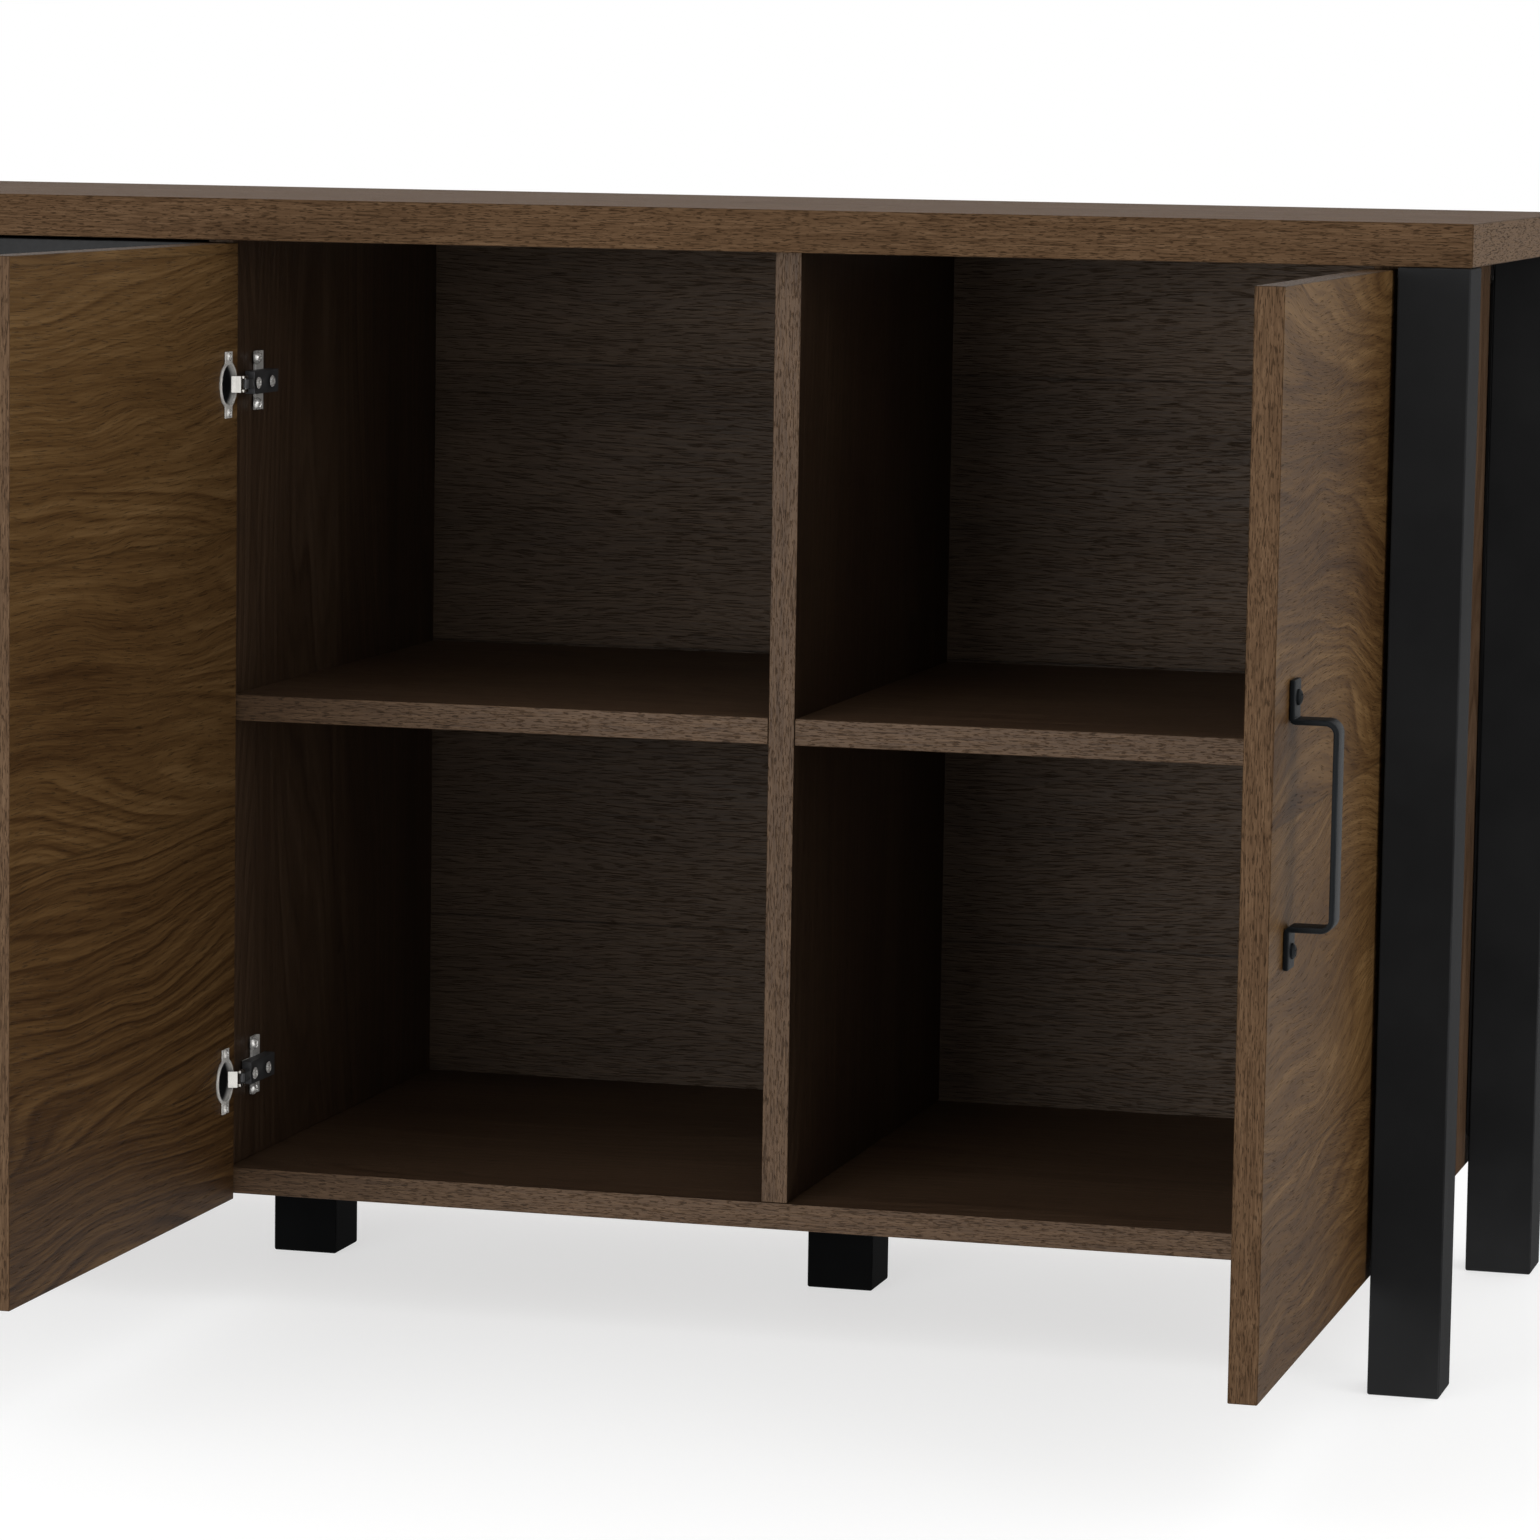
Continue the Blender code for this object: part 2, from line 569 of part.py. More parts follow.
def drawer_runners(prefix, frame, walls, low):
    """A strip on each wall of the bay, and the grooves in the drawer's sides that ride on them."""
    high = low + RUNNER_HEIGHT
    front = FRONT + RUNNER_FRONT
    back = FRONT + CARCASS_DEPTH - RUNNER_REAR
    slack = RUNNER_SLACK
    for name, wall, turn in zip(("left", "right"), walls, (1, -1)):
        strip = sorted((wall + turn * GAP, wall + turn * RUNNER_DEPTH))
        groove = sorted((wall, wall + turn * (RUNNER_DEPTH + slack)))
        add(f"{prefix}_{name}_runner", box((strip[0], front, low), (strip[1], back, high)),
            GREY_PLASTIC)
        tool(frame, box((groove[0], front - slack, low - slack), (groove[1], back, high + slack)),
             "DIFFERENCE")


def drawer(prefix, left, right, low, height):
    inner_face = FRONT - FRONT_CLEARANCE
    outer_face = inner_face - FRONT_THICKNESS
    centre = Vector(((left + right) / 2, outer_face, low + height / 2))
    slide = empty(f"{prefix}_slide", centre)
    add(f"{prefix}_front", box((left, outer_face, low), (right, inner_face, low + height)),
        BLACK_FRONT, slide)
    walls = (-HALF_CARCASS + BOARD, -HALF_BAY - BOARD)
    box_left = walls[0] + DRAWER_CLEARANCE
    box_right = walls[1] - DRAWER_CLEARANCE
    box_front = inner_face + GAP
    box_low = low + DRAWER_LIFT
    frame = drawer_box(prefix, box_left, box_right, box_front, box_low, slide)
    add(f"{prefix}_bottom", box((box_left, box_front, box_low - GAP - DRAWER_BOTTOM),
                                (box_right, box_front + DRAWER_DEPTH, box_low - GAP)),
        HARDBOARD, slide)
    drawer_runners(prefix, frame, walls, box_low + RUNNER_LIFT)
    handle = pull(prefix, centre, X_AXIS, -Y_AXIS, f"{prefix}_front", slide)
    for spot in pull_screw_spots(centre, X_AXIS):     # here the screws are one piece with the pull
        fuse(handle, driven(PULL_SCREW, spot, -Y_AXIS, PULL_STRIP, 10))


def drawers():
    left = -HALF_CARCASS + BOARD - SIDE_OVERLAY
    right = LEFT_EDGE - FRONT_SPACING
    count = len(DRAWER_NAMES)
    height = (FRONTS_HIGH - FRONTS_LOW - FRONT_SPACING * (count - 1)) / count
    for index, level in enumerate(DRAWER_NAMES):
        low = FRONTS_HIGH - height - index * (height + FRONT_SPACING)
        drawer(f"{level}_drawer", left, right, low, height)


def build():
    panels()
    legs_and_feet()
    doors()
    drawers()
    for name, bores in BORES.items():
        drill(bpy.data.objects[name], bores)


build()
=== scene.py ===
"""Looks for the three-bay sideboard: materials, small fittings, stage, lights and camera.

Metres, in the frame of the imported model.  The doors stand open and the drawers are shut.
"""

import math

import bmesh
import bpy
from mathutils import Matrix, Vector


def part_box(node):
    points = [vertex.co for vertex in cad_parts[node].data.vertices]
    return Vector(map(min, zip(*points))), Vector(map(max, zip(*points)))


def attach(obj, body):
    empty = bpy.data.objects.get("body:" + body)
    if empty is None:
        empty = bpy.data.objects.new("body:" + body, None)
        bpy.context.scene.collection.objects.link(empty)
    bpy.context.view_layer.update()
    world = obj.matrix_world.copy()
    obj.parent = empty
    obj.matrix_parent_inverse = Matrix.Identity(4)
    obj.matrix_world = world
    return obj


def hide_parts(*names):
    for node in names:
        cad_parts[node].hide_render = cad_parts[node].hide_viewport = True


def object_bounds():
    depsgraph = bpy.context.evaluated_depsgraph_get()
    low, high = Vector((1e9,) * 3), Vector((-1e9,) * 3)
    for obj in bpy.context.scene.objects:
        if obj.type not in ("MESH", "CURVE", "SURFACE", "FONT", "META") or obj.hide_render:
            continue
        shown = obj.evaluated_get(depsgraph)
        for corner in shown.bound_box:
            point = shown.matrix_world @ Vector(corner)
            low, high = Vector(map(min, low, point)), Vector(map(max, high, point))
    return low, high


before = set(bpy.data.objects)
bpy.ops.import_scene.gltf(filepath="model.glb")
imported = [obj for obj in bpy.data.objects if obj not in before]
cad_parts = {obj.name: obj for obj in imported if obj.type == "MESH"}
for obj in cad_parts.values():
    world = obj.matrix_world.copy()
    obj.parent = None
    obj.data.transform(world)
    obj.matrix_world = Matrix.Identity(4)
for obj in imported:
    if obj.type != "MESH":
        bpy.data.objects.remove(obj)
CAD_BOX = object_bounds()

X, Y, Z = 0, 1, 2                 # axes by number, for a board's grain and face
X_AXIS = Vector((1, 0, 0))
Y_AXIS = Vector((0, 1, 0))
Z_AXIS = Vector((0, 0, 1))


def middle(node):
    """The middle of a CAD node's box."""
    low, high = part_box(node)
    return (low + high) / 2


# Node graphs ------------------------------------------------------------------------------

class Graph:
    """A material's node tree, with short calls for the nodes used here."""

    def __init__(self, name):
        self.material = bpy.data.materials.new(name)
        self.material.use_nodes = True
        self.nodes = self.material.node_tree.nodes
        self.links = self.material.node_tree.links
        self.shader = self.nodes["Principled BSDF"]
        source = self.add("ShaderNodeTexCoord")
        self.place = source.outputs["Object"]
        self.normal = source.outputs["Normal"]

    def fill(self, socket, value):
        if isinstance(value, bpy.types.NodeSocket):
            self.links.new(value, socket)
        else:
            socket.default_value = value

    def add(self, kind, inputs=None, **settings):
        node = self.nodes.new(kind)
        for key, value in settings.items():
            setattr(node, key, value)
        for key, value in (inputs or {}).items():
            self.fill(node.inputs[key], value)
        return node

    def math(self, operation, first, second=0.0):
        inputs = {0: first, 1: second}
        return self.add("ShaderNodeMath", inputs, operation=operation).outputs[0]

    def total(self, *parts):
        """Sum of sockets, (socket, factor) pairs and, after the first, plain numbers."""
        whole = None
        for part in parts:
            if isinstance(part, tuple):
                part = self.math("MULTIPLY", part[0], part[1])
            whole = part if whole is None else self.math("ADD", whole, part)
        return whole

    def split(self, vector):
        return self.add("ShaderNodeSeparateXYZ", {0: vector}).outputs

    def join(self, first, second, third):
        return self.add("ShaderNodeCombineXYZ", {0: first, 1: second, 2: third}).outputs[0]

    def scaled(self, vector, scale, shift=(0, 0, 0)):
        inputs = {"Vector": vector, "Scale": scale, "Location": shift}
        return self.add("ShaderNodeMapping", inputs).outputs[0]

    def noise(self, vector, scale=1.0, detail=2.0, roughness=0.5):
        inputs = {"Vector": vector, "Scale": scale, "Detail": detail, "Roughness": roughness}
        return self.add("ShaderNodeTexNoise", inputs).outputs["Fac"]

    def step(self, value, low, high):
        """Smoothly from 0 at low to 1 at high."""
        inputs = {"Value": value, "From Min": low, "From Max": high}
        node = self.add("ShaderNodeMapRange", inputs, interpolation_type="SMOOTHSTEP")
        return node.outputs["Result"]

    def ramp(self, factor, stops):
        node = self.add("ShaderNodeValToRGB", {"Fac": factor})
        elements = node.color_ramp.elements
        while len(elements) < len(stops):
            elements.new(1.0)
        for element, (position, color) in zip(elements, stops):
            element.position = position
            element.color = (*color, 1.0)
        return node.outputs["Color"]

    def blend(self, factor, first, second):
        node = self.add("ShaderNodeMix", data_type="RGBA")
        for key, value in ((0, factor), (6, first), (7, second)):
            if isinstance(value, tuple):
                value = (*value, 1.0)
            self.fill(node.inputs[key], value)
        return node.outputs[2]

    def choose(self, factor, first, second):
        node = self.add("ShaderNodeMix", data_type="VECTOR")
        for key, value in ((0, factor), (4, first), (5, second)):
            self.fill(node.inputs[key], value)
        return node.outputs[1]

    def bump(self, height, distance):
        inputs = {"Height": height, "Distance": distance, "Strength": 1.0}
        return self.add("ShaderNodeBump", inputs).outputs["Normal"]

    def rounded_edges(self):
        """1 on the small rounded edges between faces square to the axes, 0 on those faces."""
        sizes = [self.math("ABSOLUTE", part) for part in self.split(self.normal)]
        flattest = self.math("MAXIMUM", self.math("MAXIMUM", sizes[0], sizes[1]), sizes[2])
        return self.math("SUBTRACT", 1.0, self.step(flattest, 0.88, 0.985))

    def finish(self, color, roughness, normal=None, **constants):
        self.fill(self.shader.inputs["Base Color"], color)
        self.fill(self.shader.inputs["Roughness"], roughness)
        if normal:
            self.fill(self.shader.inputs["Normal"], normal)
        for key, value in constants.items():
            self.shader.inputs[key.replace("_", " ")].default_value = value
        return self.material


# Wood -------------------------------------------------------------------------------------

DOOR_TONES = ((0.00, (0.017, 0.0075, 0.0030)), (0.30, (0.045, 0.0215, 0.0075)),
              (0.60, (0.084, 0.0440, 0.0155)), (1.00, (0.140, 0.0800, 0.0320)))
CARCASS_TONES = ((0.00, (0.016, 0.0080, 0.0042)), (0.30, (0.040, 0.0215, 0.0115)),
                 (0.60, (0.067, 0.0385, 0.0215)), (1.00, (0.105, 0.0640, 0.0380)))
EDGE_TONES = ((0.00, (0.018, 0.0095, 0.0046)), (0.30, (0.042, 0.0228, 0.0112)),
              (0.60, (0.069, 0.0395, 0.0205)), (1.00, (0.108, 0.0660, 0.0370)))
PORE = (0.007, 0.004, 0.002)


# a darker copy of a set of tones; the uprights take one as painted shade
def dimmed(tones, factor):
    return tuple((position, tuple(part * factor for part in color)) for position, color in tones)


def board_space(graph, grain, face, seed):
    """(along, across, through) coordinates of a board, and masks of its edges and its ends.

    On the ends, where the grain would stop, the edge band's grain runs along the edge."""
    across = ({X, Y, Z} - {grain, face}).pop()
    place = graph.split(graph.place)
    facing = [graph.math("ABSOLUTE", part) for part in graph.split(graph.normal)]
    flat = graph.join(place[grain], place[across], place[face])
    turned = graph.join(place[across], place[grain], place[face])
    end = graph.math("GREATER_THAN", facing[grain], 0.7)
    space = graph.scaled(graph.choose(end, flat, turned), (1, 1, 1),
                         (seed * 3.71, seed * 1.37, seed * 0.73))
    edge = graph.math("LESS_THAN", facing[face], 0.7)
    return space, edge, end


def planked(graph, space, width):
    """Shift the figure along the grain from one strip of veneer to the next.

    Returns the shifted space, each strip's own draw from 0 to 1, and the seams' mask."""
    along, across, through = graph.split(space)
    strips = graph.math("DIVIDE", across, width)
    inputs = {"W": graph.math("FLOOR", strips)}
    draw = graph.add("ShaderNodeTexWhiteNoise", inputs, noise_dimensions="1D").outputs["Value"]
    moved = graph.math("ADD", along, graph.math("MULTIPLY", draw, 9.0))
    nearest = graph.math("ABSOLUTE", graph.math("SUBTRACT", graph.math("FRACT", strips), 0.5))
    seam = graph.step(nearest, 0.5 - 0.0011 / width, 0.5 - 0.0003 / width)
    return graph.join(moved, across, through), draw, seam


def growth_lines(graph, count):
    """Dark late-wood lines where count passes a whole number, and thinner ones between."""
    turns = graph.math("FRACT", count)
    late = graph.math("SUBTRACT", graph.step(turns, 0.20, 0.86), graph.step(turns, 0.88, 1.0))
    finer = graph.math("FRACT", graph.math("MULTIPLY", count, 2.7))
    thin = graph.math("SUBTRACT", graph.step(finer, 0.30, 0.80), graph.step(finer, 0.82, 1.0))
    return graph.total((late, 1.0), (thin, 0.8))


def walnut(name, grain, face, seed, tones, wave=0.03, rings=26.0, straight=80.0, plank=0.6,
           figure=0.35, gloss=0.14, painted_light_lift=0.0, painted_shade_fall=0.0, ends=0.0):
    """Oiled walnut veneer with banded edges.

    wave bends the grain, in metres; rings and straight set how many growth lines the slow
    figure and the plain distance across the board give; figure is the lines' strength and
    plank the strips' width.  lift lightens the faces and ends the end bands, both as painted
    light, and fall darkens the faces downwards as painted shade."""
    graph = Graph(name)
    space, edge, end = board_space(graph, grain, face, seed)
    space, draw, seam = planked(graph, space, plank)
    along, across, through = graph.split(space)

    # the grain's course
    slow = graph.noise(graph.scaled(space, (2.6, 5.0, 5.0)), detail=2.0)
    quick = graph.noise(graph.scaled(space, (14.0, 60.0, 60.0)), detail=3.0)
    bent = graph.total(across, (slow, wave), (quick, 0.0032))
    curved = graph.join(along, bent, through)

    # growth lines, stronger in some patches than in others
    field = graph.noise(graph.scaled(curved, (1.3, 5.5, 5.5)), detail=1.0, roughness=0.4)
    loose = graph.noise(graph.scaled(curved, (1.9, 13.0, 13.0), (9, 4, 6)), detail=1.0)
    count = graph.total((field, rings), (bent, straight), (loose, 5.0))
    patch = graph.noise(graph.scaled(curved, (2.2, 10.0, 10.0), (3, 1, 2)), detail=2.0)
    fibre = graph.noise(graph.scaled(curved, (24.0, 900.0, 900.0)), detail=3.0, roughness=0.65)
    streak = graph.noise(graph.scaled(curved, (4.0, 140.0, 140.0), (7, 2, 5)), detail=3.0)
    strength = graph.math("MULTIPLY", graph.step(patch, 0.26, 0.62), graph.step(streak, 0.25, 0.6))
    lines = graph.math("MULTIPLY", growth_lines(graph, count), strength)

    # shade of the faces, and of the edge bands; lift adds painted light to the faces and ends to
    # the end bands
    crisp = graph.step(fibre, 0.34, 0.66)
    shade = graph.total((lines, -figure), (crisp, 0.20), (streak, 0.80), (patch, 1.05),
                        (draw, 0.20), painted_light_lift - 0.55)
    # painted shade: fall darkens the faces towards the bottom
    if painted_shade_fall:
        shade = graph.total(shade, (graph.split(graph.place)[Z], painted_shade_fall),
                            -painted_shade_fall * middle("top_panel").z / 2)
    # painted light: ends lightens the end bands
    band = graph.total((fibre, 1.25), (streak, 0.30), (draw, 0.10), (end, ends), -0.28)
    color = graph.blend(edge, graph.ramp(shade, tones), graph.ramp(band, EDGE_TONES))

    # open pores, longer dashes on the edges, dark seams and rubbed arrises
    grainy = graph.noise(graph.scaled(curved, (60.0, 1300.0, 1300.0), (1, 4, 2)), detail=2.0)
    dashes = graph.noise(graph.scaled(space, (170.0, 1400.0, 1400.0), (5, 3, 8)), detail=2.0)
    pore = graph.math("MULTIPLY", graph.step(grainy, 0.58, 0.70), 0.75)
    cut = graph.math("MULTIPLY", edge, graph.step(dashes, 0.56, 0.66))
    pore = graph.math("MAXIMUM", pore, cut)
    color = graph.blend(graph.math("MULTIPLY", pore, 0.60), color, PORE)
    joint = graph.math("MULTIPLY", seam, graph.math("SUBTRACT", 1.0, edge))
    rim = graph.math("MAXIMUM", graph.rounded_edges(), graph.math("MULTIPLY", joint, 0.8))
    color = graph.blend(graph.math("MULTIPLY", rim, 0.38), color, PORE)

    rough = graph.total((fibre, 0.12), (pore, 0.14), 0.43)
    height = graph.total((fibre, 0.5), (streak, 0.3), (pore, -0.9), (lines, -0.15))
    return graph.finish(color, rough, graph.bump(height, 0.00025), Specular_IOR_Level=gloss)


def printed_board(name, grain, face, seed):
    """Thin hardboard with a printed, finely brushed wood figure."""
    graph = Graph(name)
    space = board_space(graph, grain, face, seed)[0]
    space, draw, seam = planked(graph, space, 0.187)
    slow = graph.noise(graph.scaled(space, (2.2, 9.0, 9.0)), detail=2.0)
    along, across, through = graph.split(space)
    curved = graph.join(along, graph.total(across, (slow, 0.030)), through)
    lines = graph.noise(graph.scaled(curved, (17.0, 820.0, 820.0)), detail=4.0, roughness=0.75)
    dashes = graph.noise(graph.scaled(curved, (75.0, 1400.0, 1400.0), (2, 7, 1)), detail=2.0)
    bands = graph.noise(graph.scaled(curved, (1.4, 16.0, 16.0), (5, 1, 4)), detail=2.0)
    dash = graph.step(dashes, 0.55, 0.68)
    shade = graph.total((lines, 1.30), (bands, 0.55), (draw, 0.16), (seam, -0.30), -0.50)
    color = graph.ramp(shade, ((0.0, (0.013, 0.0078, 0.0046)), (0.45, (0.043, 0.0272, 0.0162)),
                               (1.0, (0.090, 0.0600, 0.0380))))
    color = graph.blend(graph.math("MULTIPLY", dash, 0.40), color, PORE)
    rough = graph.total((lines, 0.20), (dash, 0.12), 0.38)
    height = graph.total((lines, 1.0), (dash, -0.8))
    return graph.finish(color, rough, graph.bump(height, 0.00040), Specular_IOR_Level=0.14)


# Paint, metal and plastic --------------------------------------------------------------------

# painted shade for the hinge cups behind the doors' faces, inside their bores
CUP_BORE_SHADE = (0.02, 0.02, 0.02)


def painted(name, base, worn, roughness, grain, depth, wear=0.5, **constants):
    """Sprayed or powder-coated paint: orange peel, faint mottling and rubbed edges."""
    graph = Graph(name)
    peel = graph.noise(graph.place, grain, detail=3.0, roughness=0.6)
    mottle = graph.noise(graph.place, 9.0, detail=4.0, roughness=0.6)
    scuff = graph.noise(graph.scaled(graph.place, (60, 60, 14)), detail=4.0, roughness=0.7)
    rubbed = graph.math("MULTIPLY", graph.rounded_edges(), graph.step(scuff, 0.35, 0.65))
    darker = tuple(part * 0.72 for part in base)
    color = graph.blend(graph.step(mottle, 0.3, 0.7), darker, base)
    color = graph.blend(graph.math("MULTIPLY", rubbed, wear), color, worn)
    rough = graph.total((peel, 0.12), (mottle, 0.10), (scuff, 0.06), roughness - 0.14)
    return graph.finish(color, rough, graph.bump(peel, depth), **constants)


def plated(name, base, roughness, brush_axis, metallic=1.0, mouth=None, **constants):
    """Plated steel with fine rolling marks and faint spots.

    mouth is the (x, outward sign) of a plane behind which the piece is dark with painted shade."""
    graph = Graph(name)
    scale = [900.0, 900.0, 900.0]
    scale[brush_axis] = 40.0
    brush = graph.noise(graph.scaled(graph.place, scale), detail=3.0, roughness=0.6)
    spots = graph.noise(graph.place, 160.0, detail=3.0, roughness=0.6)
    darker = tuple(part * 0.84 for part in base)
    tone = graph.total((brush, 0.5), (spots, 0.5))
    color = graph.blend(graph.step(tone, 0.3, 0.6), darker, base)
    # painted shade: dark behind the mouth, inside the door's bore
    if mouth:
        across = graph.split(graph.place)[X]
        behind = graph.math("MULTIPLY", graph.math("SUBTRACT", mouth[0], across), mouth[1])
        color = graph.blend(graph.step(behind, 0.0, 0.0030), color, CUP_BORE_SHADE)
    rough = graph.total((brush, 0.14), (spots, 0.10), roughness - 0.12)
    return graph.finish(color, rough, graph.bump(brush, 0.000015), Metallic=metallic, **constants)


def pale_floor():
    graph = Graph("studio_floor")
    cloud = graph.noise(graph.place, 1.3, detail=3.0)
    fine = graph.noise(graph.place, 240.0, detail=2.0)
    color = graph.ramp(cloud, ((0.0, (0.39, 0.39, 0.39)), (1.0, (0.42, 0.42, 0.42))))
    rough = graph.total((fine, 0.1), 0.75)
    return graph.finish(color, rough, graph.bump(fine, 0.0001), Specular_IOR_Level=0.2,
                        Emission_Color=(1, 1, 1, 1), Emission_Strength=0.62)


# The finishes ------------------------------------------------------------------------------

# painted shade: the doors' fall darkens them towards the bottom
LEFT_DOOR = walnut("walnut_left_door", Y, X, 1.0, DOOR_TONES, wave=0.060, rings=17.0,
                   straight=80.0, plank=0.168, figure=0.27, gloss=0.05, painted_shade_fall=0.80)
RIGHT_DOOR = walnut("walnut_right_door", Y, X, 5.0, DOOR_TONES, wave=0.110, rings=12.0,
                    straight=44.0, plank=0.190, figure=0.22, gloss=0.03, painted_shade_fall=0.25)
# painted light: lift makes the top a lighter copy of the carcass walnut, and ends lightens its end
# bands
TOP_WOOD = walnut("walnut_top", X, Z, 9.0, CARCASS_TONES, wave=0.03, plank=0.142,
                  gloss=0.008, painted_light_lift=0.48, ends=0.38)
FLAT_WOOD = walnut("walnut_shelves", X, Z, 14.0, CARCASS_TONES, wave=0.02, figure=0.25)
# painted light: lift makes the sides a slightly lighter copy of the carcass walnut
SIDE_WOOD = walnut("walnut_sides", Z, X, 17.0, CARCASS_TONES, wave=0.02, figure=0.25,
                   gloss=0.03, painted_light_lift=0.10)
# painted shade: the uprights' faces, seen inside the bays, are a darker copy of the carcass walnut
SHADED_UPRIGHT_WOOD = walnut("walnut_uprights_shaded", Z, X, 21.0, dimmed(CARCASS_TONES, 0.66), wave=0.02,
                      figure=0.25)
BACK_BOARD = printed_board("printed_back", X, Y, 3.0)
DRAWER_FLOOR = printed_board("printed_drawer_floor", X, Z, 8.0)
LEG_PAINT = painted("black_lacquer", (0.0170, 0.0172, 0.0176), (0.036, 0.036, 0.037), 0.54,
                    650.0, 0.00005, Specular_IOR_Level=0.006)
# painted shade: the feet by the floor take a darker copy of the legs' black lacquer
SHADED_FOOT_PAINT = painted("black_foot_shaded", (0.0030, 0.0031, 0.0032), (0.010, 0.010, 0.010), 0.55,
                     900.0, 0.00008, Specular_IOR_Level=0.005)
FRONT_PAINT = painted("black_laminate", (0.0060, 0.0062, 0.0066), (0.020, 0.020, 0.021), 0.50,
                      420.0, 0.00008, Specular_IOR_Level=0.14)
GRIP_PAINT = painted("black_powder_coat", (0.0070, 0.0082, 0.0092), (0.030, 0.032, 0.034), 0.46,
                     1500.0, 0.00006, Specular_IOR_Level=0.04)
DRAWER_PAINT = painted("drawer_board", (0.050, 0.049, 0.048), (0.090, 0.088, 0.085), 0.55,
                       500.0, 0.00006, wear=0.3, Specular_IOR_Level=0.30)
RUNNER_PLASTIC = painted("grey_plastic", (0.050, 0.050, 0.052), (0.080, 0.080, 0.082), 0.48,
                         900.0, 0.00003, wear=0.4, Specular_IOR_Level=0.40)
NICKEL = plated("nickel", (0.68, 0.66, 0.62), 0.26, Z)
PLATE_METAL = plated("nickel_plates", (0.80, 0.79, 0.76), 0.30, Z, metallic=0.35)
# the cups' mouth is the door's face, behind which they take painted shade
LEFT_CUP = plated("nickel_left_cups", (0.80, 0.78, 0.74), 0.30, Z, metallic=0.4,
                  mouth=(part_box("left_door_panel")[1].x, 1.0))
RIGHT_CUP = plated("nickel_right_cups", (0.80, 0.78, 0.74), 0.30, Z, metallic=0.4,
                   mouth=(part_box("right_door_panel")[0].x, -1.0))
ANTHRACITE = plated("anthracite_steel", (0.060, 0.060, 0.062), 0.48, Y, metallic=0.5)
ZINC = plated("zinc_screws", (0.80, 0.79, 0.76), 0.26, X, metallic=0.6)


# CAD nodes: finishes and rounded edges -------------------------------------------------------

LOOKS = (                         # part of a node's name, its finish, and its edges' radius
    ("left_upper_hinge_cup", LEFT_CUP, 0.0002),
    ("left_lower_hinge_cup", LEFT_CUP, 0.0002),
    ("right_upper_hinge_cup", RIGHT_CUP, 0.0002),
    ("right_lower_hinge_cup", RIGHT_CUP, 0.0002),
    ("hinge_arm", ANTHRACITE, 0.0006),
    ("hinge_plate", PLATE_METAL, 0.0003),
    ("hinge_link", NICKEL, 0.0002),
    ("left_door_panel", LEFT_DOOR, 0.0006),
    ("right_door_panel", RIGHT_DOOR, 0.0006),
    ("top_panel", TOP_WOOD, 0.0009),
    ("bottom_panel", FLAT_WOOD, 0.0005),
    ("_shelf", FLAT_WOOD, 0.0005),
    ("side_panel", SIDE_WOOD, 0.0005),
    ("partition", SHADED_UPRIGHT_WOOD, 0.0005),
    ("divider", SHADED_UPRIGHT_WOOD, 0.0005),
    ("back_panel", BACK_BOARD, 0.0003),
    ("_leg", LEG_PAINT, 0.0012),
    ("_foot", SHADED_FOOT_PAINT, 0.0012),
    ("drawer_front", FRONT_PAINT, 0.0007),
    ("drawer_box", DRAWER_PAINT, 0.0005),
    ("drawer_bottom", DRAWER_FLOOR, 0.0002),
    ("runner", RUNNER_PLASTIC, 0.0004),
    ("handle", GRIP_PAINT, 0.0004),
)
WELD_DISTANCE = 0.00001
BEVEL_ANGLE = 35.0


def finish_for(node):
    """(material, edge radius) of a CAD node."""
    for part, look, radius in LOOKS:
        if part in node:
            return look, radius
    raise ValueError(f"no finish for {node}")


def soften(piece, radius):
    """Round a piece's edges a little, with modifiers only."""
    weld = piece.modifiers.new("weld", "WELD")
    weld.merge_threshold = WELD_DISTANCE
    bevel = piece.modifiers.new("rounding", "BEVEL")
    bevel.width = radius
    bevel.segments = 2
    bevel.limit_method = "ANGLE"
    bevel.angle_limit = math.radians(BEVEL_ANGLE)
    bevel.use_clamp_overlap = False
    normals = piece.modifiers.new("normals", "WEIGHTED_NORMAL")
    normals.weight = 60


def dress_nodes():
    for name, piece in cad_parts.items():
        look, radius = finish_for(name)
        piece.data.materials.clear()
        piece.data.materials.append(look)
        soften(piece, radius)


# Fittings built in mesh code ---------------------------------------------------------------

PULL_SECTION = (0.018, 0.003)     # width and thickness of the strip
PULL_CORNER = 0.0008
PULL_BENDS = (0.0021, 0.006, 0.006, 0.0021)   # radii of the strip's four bends
PULL_REACH = 0.0255               # middle of the grip off the front's face
PULL_HALF_LEGS = 0.055
PULL_HALF_LENGTH = 0.077
PULL_SCREWS = 0.0675              # pull's middle to each screw
GAP = 0.0003                      # between a pull and the front it is screwed to
TAPER = 0.42                      # how far the strip's ends are rounded in, in PULL_CORNERs

